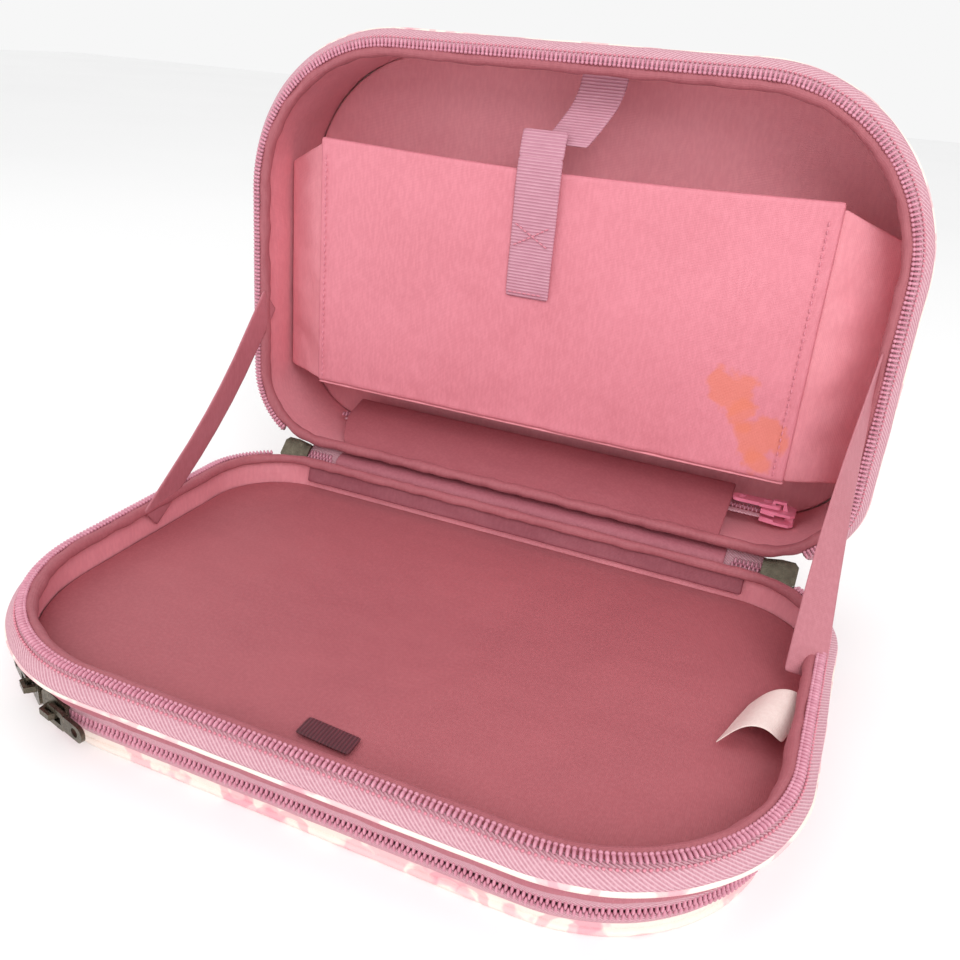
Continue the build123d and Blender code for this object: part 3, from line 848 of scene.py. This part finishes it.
gusset("pocket_side_left", -1, "pocket_gusset_left")
gusset("pocket_side_right", 1, "pocket_gusset_right")
foot_path = [lid_at(0, 29.5, 9), lid_at(0, 29.2, 41.5)]
foot = strap("pocket_floor", PANEL_LINING, foot_path, (1, 0, 0), 2 * POCKET_HALF, 1.2)
show(foot, "lid", "pocket_bottom", slot="lining")


def stitch_line(name, storey_point, ends, pitch, body, size=(0.95, 0.28, 0.3)):
    """A row of small raised stitches between two places."""
    start, end = (storey_point(*end) for end in ends)
    way = (end - start).normalized()
    flat = way.to_track_quat("X", "Z").to_matrix().to_4x4()
    spots = [start + way * (k + 0.5) * pitch for k in range(int((end - start).length / pitch))]
    places = [Matrix.Translation(spot * MM) @ flat @ grow(size) for spot in spots]
    piece = beads(name, THREAD, places, (6, 4))
    return show(piece, body, slot="lining")


stitch_line("stitches_pocket_right", lid_at, [(94, 32, 7.4), (94, 125, 7.6)], 2.6, "lid")
stitch_line("stitches_pocket_left", lid_at, [(-95, 32, 7.4), (-95, 125, 7.6)], 2.6, "lid")

# %% [markdown]
# ## Closure strap
#
# A ribbed ribbon is sewn to the lid, crosses the gap over the pocket and hangs down its
# face, where a patch of hooks meets a patch of loops. A few crossed stitches hold it.

# %% Closure
RIBBON_WIDE = 17
RIBBON_X = -6
upper_path = [lid_at(*place) for place in ((10, 162, 19.6), (9, 152, 18.6), (5, 143, 13), (1, 136, 8.4))]
anchor = strap("closure_ribbon_fixed", RIBBON, upper_path, (1, 0, 0), RIBBON_WIDE, 1.1)
show(anchor, "lid", "strap_anchor", slot="webbing")
fold_path = [lid_at(RIBBON_X, *place) for place in ((140.5, 8.0), (138, 6.6), (131, 5.3))]
fold = strap("closure_ribbon_fold", RIBBON, fold_path, (1, 0, 0), RIBBON_WIDE, 1.1)
show(fold, "lid", slot="webbing")
hang = (131.5, 5.2), (120, 4.6), (105, 5.1), (92, 4.7), (81, 5.3)
tab_path = [lid_at(RIBBON_X, *place) for place in hang]
tab = strap("closure_ribbon_tab", RIBBON, tab_path, (1, 0, 0), RIBBON_WIDE, 1.1, 0.35, 2.0)
show(tab, "closure_tab", "closure_tab", slot="webbing")
hook_path = [lid_at(RIBBON_X, 82, 6.3), lid_at(RIBBON_X, 103, 6.3)]
hooks = strap("hook_patch_cloth", LOOPS, hook_path, (1, 0, 0), 16, 0.8)
show(hooks, "closure_tab", "hook_patch", slot="hook_loop")
loop_path = [lid_at(RIBBON_X, 82, 7.4), lid_at(RIBBON_X, 103, 7.4)]
loops = strap("loop_patch_cloth", LOOPS, loop_path, (1, 0, 0), 18, 0.9)
show(loops, "lid", "pocket_loop_patch", slot="hook_loop")
for number, ends in enumerate((((-13, 100, 4.0), (1, 108, 4.0)), ((-13, 108, 4.0), (1, 100, 4.0)),
                               ((-13.5, 83, 4.2), (1.5, 83, 4.2)))):
    stitch_line(f"stitches_tab_{number}", lid_at, ends, 1.9, "closure_tab")

# %% [markdown]
# ## Inner zip
#
# The lid's bottom wall has its own zip, half hidden under a loose flap of lining. Its
# slider and puller are enamelled pink.

# %% Inner zip and flap
INNER_DEPTH = 28
INNER_HEIGHT = 9.5
for number, offset in enumerate((-4.7, 4.7)):
    path = [lid_at(x, INNER_HEIGHT, INNER_DEPTH + offset) for x in (-92, 92)]
    tape = strap(f"inner_zip_tape_{number}", TAPE, path, LID_BACK, 3.6, 0.9)
    show(tape, "lid", *(["inner_zip_tape"] if number == 0 else []), slot="zip_tape")
inner_bars = []
for row, offset in enumerate((-0.75, 0.75)):
    for k in range(int(188 / 1.57)):
        spot = lid_at(-96 + (k + 0.5 * row + 0.5) * 1.57, INNER_HEIGHT, INNER_DEPTH + offset)
        inner_bars.append(Matrix.Translation(spot * MM) @ grow((0.52, 1.35, 0.95)))
show(beads("inner_zip_coil", COIL, inner_bars), "lid", "inner_zip_chain", slot="zip_coil")


def flap_place(u, v):
    """The flap, rounded at its left end and rippled along its free edge."""
    x = -90 + 170 * u
    start = max(0.0, 1 - u / 0.07) ** 2 * 0.6
    across = start + v * (1 - start)
    ripple = noise.noise(Vector((x / 13, across * 1.2, 5.0))) * 1.3 * (1 - across)
    return lid_at(x, 4.9 + 10.6 * across + ripple, 3.4 + 31.4 * across) * MM


flap = sheet("inner_zip_flap", FLAP_LINING, (110, 16), flap_place, (0.17, 0.033), 1.2)
show(soften(flap), "lid", "spine_flap", slot="lining")

# %% [markdown]
# ## Hinge, spine and stays
#
# Cloth crosses the hinges: an outer spine behind the main hinge, a lower one behind the
# tray, and two ribbons that stop the lid. Each is baked in place and rides on neither body.

# %% Pieces that bend
def bending(piece, node):
    """Bakes a piece's modifiers and place into its mesh, on no body, and hides its CAD node."""
    applied = piece.evaluated_get(bpy.context.evaluated_depsgraph_get())
    mesh = bpy.data.meshes.new_from_object(applied)
    piece.modifiers.clear()
    piece.data = mesh
    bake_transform(piece)
    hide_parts(node)


binding_path = [(0, 78.9, 27.2), (0, 78.2, 24), (0, 77, 20)]
binding = strap("hinge_binding_fold", BINDING, binding_path, (1, 0, 0), 186, 1.4, 0.5, 4.0)
show(binding, "tray", "hinge_binding", slot="lining")
spine_path = [(0, 83.2, 21.4), (0, 83.6, 27), (0, 86, 30.2), (0, 95, 30.5)]
spine = strap("outer_spine_cloth", GUSSET_CLOTH, spine_path, (1, 0, 0), 168, 1.1)
bending(spine, "spine_outer")
heel_path = [(0, 78, 3.4), (0, 80, 9), (0, 83, 17)]
heel = strap("lower_spine_cloth", GUSSET_CLOTH, heel_path, (1, 0, 0), 152, 1.1)
bending(heel, "lower_spine")


STAY_X = 119.5


def stay(name, sign, height, reach, twist, node):
    """A ribbon from the lid's side wall to the tray's, a little slack."""
    top = lid_at(sign * STAY_X, height, 5)
    foot = Vector((sign * STAY_X, reach, 24))
    sag = (top + foot) / 2 + Vector((-sign * 1.5, 2.5, -3.0))
    way = (foot - top).normalized()
    path = rounded([top, sag, foot])
    edge_on = way.cross(Vector((1, 0, 0))).normalized()

    def place(u, v):
        across = Matrix.Rotation(sign * twist * u, 3, way) @ edge_on
        return (along(path, u) + across * (v - 0.5) * 13) * MM

    piece = soften(sheet(name, STAY_RIBBON, (48, 6), place, ((foot - top).length * MM, 13 * MM), 0.9))
    bending(piece, node)


stay("stay_ribbon_left", -1, 62, 9, 0.15, "stay_strap_left")
stay("stay_ribbon_right", 1, 82, 29, 1.25, "stay_strap_right")

# %% [markdown]
# ## Labels
#
# Two labels are sewn into the tray: a small dark woven one on the floor and a white care
# label that curls out of the right-hand seam. Neither carries any words.

# %% Labels
tag = strap("woven_tag", WOVEN, [(-8, -59.6, 19.0), (10, -60.9, 19.0)], (0, 1, 0), 8, 0.6)
show(tag, "tray", "woven_label", slot="woven_label")
care_path = [(120.6, 6, 22.5), (115, 5, 27), (108.5, 4, 25.5), (102.5, 1, 18.8)]
care = strap("care_tag", PAPER_LABEL, care_path, (0.25, 0.97, 0), 24, 0.4, 0.9, 9.0)
show(care, "tray", "care_label", slot="care_label")

# %% [markdown]
# ## Metalwork
#
# The sliders and pullers keep the CAD's shape. The outer ones are worn dark nickel and
# the inner one pink enamel; a short closed chain runs on behind each main slider.

# %% Sliders
for name, node in frame["nodes"].items():
    if "slider" in name or "puller" in name:
        coat = PINK_ENAMEL if name.startswith("inner") else NICKEL
        for socket in node.material_slots:
            socket.material = coat.material
CHAIN_ACROSS = Vector((0, 1, 1)).normalized()
CHAIN_BACK = Vector((0, 1, -1)).normalized() * 0.9
for side_name, sign in (("left", -1), ("right", 1)):
    low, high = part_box(f"zip_stub_{side_name}")
    middle = (Vector(low) + Vector(high)) / 2
    bars = []
    tilt = Matrix.Rotation(QUARTER / 2, 4, "X")
    for row, offset in enumerate((-0.9, 0.9)):
        for k in range(12):
            x = sign * (87 * MM + (k + row / 2) * PITCH)
            spot = Matrix.Translation((x, middle.y, middle.z)) @ tilt
            bars.append(spot @ Matrix.Translation((0, offset * MM, 0)) @ grow((0.52, 1.5, 1.0)))
    show(beads(f"closed_chain_{side_name}", COIL, bars), "tray", f"zip_stub_{side_name}", slot="zip_coil")
    ends = [Vector((sign * x, middle.y / MM, middle.z / MM)) + CHAIN_BACK for x in (83, 99)]
    tape = strap(f"closed_tape_{side_name}", TAPE, ends, CHAIN_ACROSS, 11, 0.6)
    show(tape, "tray", slot="zip_tape")

# %% [markdown]
# ## Light, floor and camera
#
# A white floor under an even white sky, a soft key from the front right and a weaker
# fill from the left. The camera stands in front of the right-hand corner, looking down.

# %% Stage
CAMERA_AT = Vector((0.111, -0.244, 0.1965))
YAW, PITCH_DOWN, ROLL = (math.radians(angle) for angle in (-21.2, 24.41, 4.83))
LENS = 35.78


def make_camera():
    data = bpy.data.cameras.new("camera")
    data.lens = LENS
    data.sensor_width = 36
    camera = bpy.data.objects.new("camera", data)
    level = Vector((math.sin(YAW), math.cos(YAW), 0))
    forward = level * math.cos(PITCH_DOWN) - Vector((0, 0, math.sin(PITCH_DOWN)))
    side_on = Vector((math.cos(YAW), -math.sin(YAW), 0))
    upright = side_on.cross(forward)
    right = math.cos(ROLL) * side_on + math.sin(ROLL) * upright
    up = math.cos(ROLL) * upright - math.sin(ROLL) * side_on
    turn = Matrix((right, up, -forward)).transposed().to_4x4()
    camera.matrix_world = Matrix.Translation(CAMERA_AT) @ turn
    bpy.context.scene.collection.objects.link(camera)
    bpy.context.scene.camera = camera


def make_light(name, at, target, size, watts, colour=(1, 1, 1)):
    data = bpy.data.lights.new(name, "AREA")
    data.size = size
    data.energy = watts
    data.color = colour
    light = bpy.data.objects.new(name, data)
    aim = (Vector(target) - Vector(at)).to_track_quat("-Z", "Y").to_matrix().to_4x4()
    light.matrix_world = Matrix.Translation(at) @ aim
    bpy.context.scene.collection.objects.link(light)


make_camera()
make_light("key", (0.5, -0.75, 0.7), (0, 0.05, 0.05), 0.6, 6.5)
make_light("fill", (-0.9, -0.5, 0.6), (0, 0.05, 0.05), 0.9, 2)
bpy.context.scene.view_settings.view_transform = "Standard"
world = bpy.data.worlds.new("studio")
world.use_nodes = True
world.node_tree.nodes["Background"].inputs["Color"].default_value = (1, 1, 1, 1)
world.node_tree.nodes["Background"].inputs["Strength"].default_value = 0.93
bpy.context.scene.world = world
floor_mesh = bmesh.new()
bmesh.ops.create_grid(floor_mesh, x_segments=1, y_segments=1, size=4.0)
paper = Finish("paper", roughness=0.9)
paper.colour(paper.mix(paper.noise(0.5, 2.0), linear((252, 252, 252)), linear((246, 246, 246))))
floor = finish_mesh(floor_mesh, "floor", paper)
print("camera", [round(c, 3) for c in CAMERA_AT], "lens", LENS)
